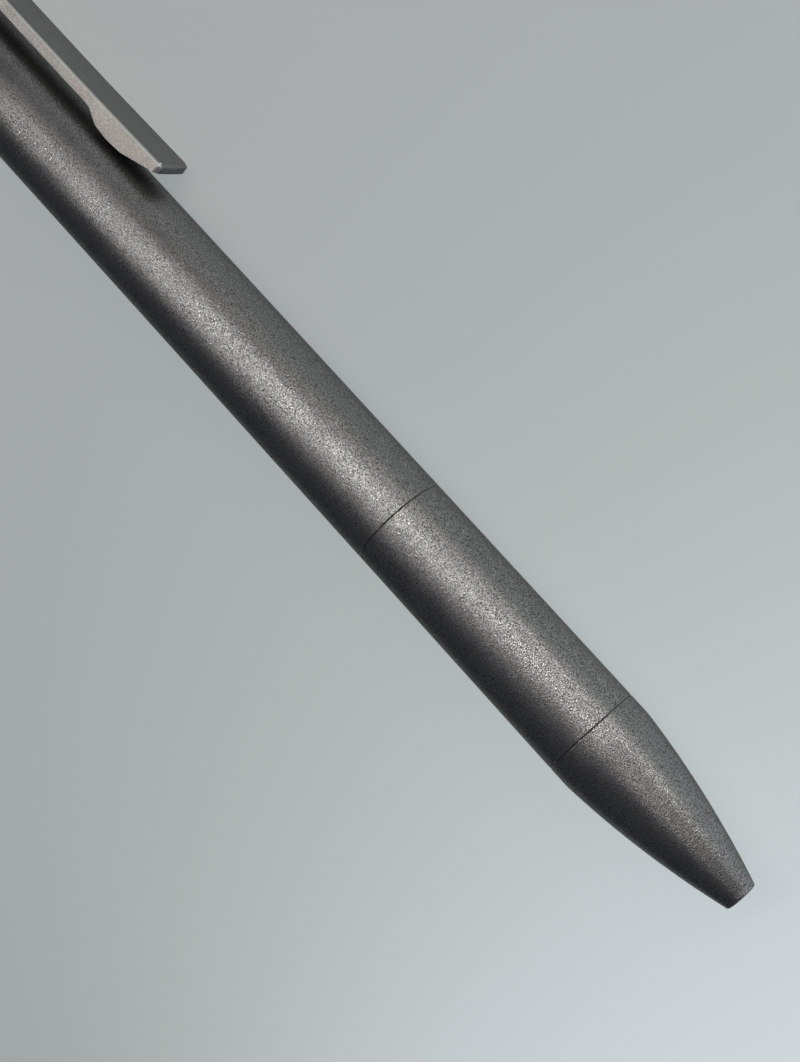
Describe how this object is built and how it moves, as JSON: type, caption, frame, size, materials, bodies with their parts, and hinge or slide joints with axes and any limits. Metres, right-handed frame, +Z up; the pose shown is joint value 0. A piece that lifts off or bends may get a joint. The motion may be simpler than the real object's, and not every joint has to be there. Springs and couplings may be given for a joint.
{
  "type": "bolt action pen",
  "caption": "Slim metal pen with a pocket clip, whose side bolt slides and turns in a slot to push the writing point out and hold it there.",
  "frame": {"origin": "centre of the flat face of the end cap, on the pen's axis", "axes": "+X along the pen's axis to the writing tip, +Z up as the pen lies, towards the bolt knob, +Y towards the side where the clip lies"},
  "size_m": [0.142, 0.0138, 0.0155],
  "materials": {
    "titanium_barrel": "bead-blasted titanium",
    "titanium_cap": "bead-blasted titanium",
    "titanium_grip": "bead-blasted titanium",
    "titanium_nose": "bead-blasted titanium",
    "titanium_clip": "milled and blasted titanium",
    "titanium_knob": "turned and blasted titanium",
    "titanium_plunger": "turned titanium",
    "stud_steel": "ground",
    "screw_steel": "black oxide",
    "spring_steel": "drawn wire",
    "point_metal": "turned",
    "ball_carbide": "polished",
    "seal_rubber": "matte",
    "refill_plastic": "translucent",
    "plug_plastic": "moulded",
    "holder_plastic": "moulded",
    "ink": "liquid",
    "grease": "soft gel"
  },
  "bodies": {
    "barrel": {"barrel": "titanium_barrel", "end_cap": "titanium_cap", "cap_seal_ring": "seal_rubber", "clip": "titanium_clip", "clip_screws": "screw_steel", "grip_section": "titanium_grip", "grip_seal_ring": "seal_rubber", "nose_cone": "titanium_nose", "nose_seal_ring": "seal_rubber", "return_spring": "spring_steel"},
    "refill": {"refill_tube": "refill_plastic", "refill_tail_plug": "plug_plastic", "refill_ink": "ink", "refill_follower": "grease", "refill_tip_holder": "holder_plastic", "refill_point": "point_metal", "tip_ball": "ball_carbide"},
    "bolt": {"bolt_plunger": "titanium_plunger", "plunger_rings": "seal_rubber", "bolt_stud": "stud_steel", "bolt_knob": "titanium_knob"}
  },
  "joints": [
    {"name": "bolt_travel", "type": "slide", "parent": "barrel", "child": "refill", "axis": [1, 0, 0], "range_m": [0, 0.0055], "stiffness_N_per_m": 170, "springref_m": -0.0047, "deforming": ["return_spring"]},
    {"name": "bolt_turn", "type": "hinge", "parent": "refill", "child": "bolt", "pos_m": [0, 0, 0], "axis": [1, 0, 0], "range_deg": [0, 35]}
  ]
}
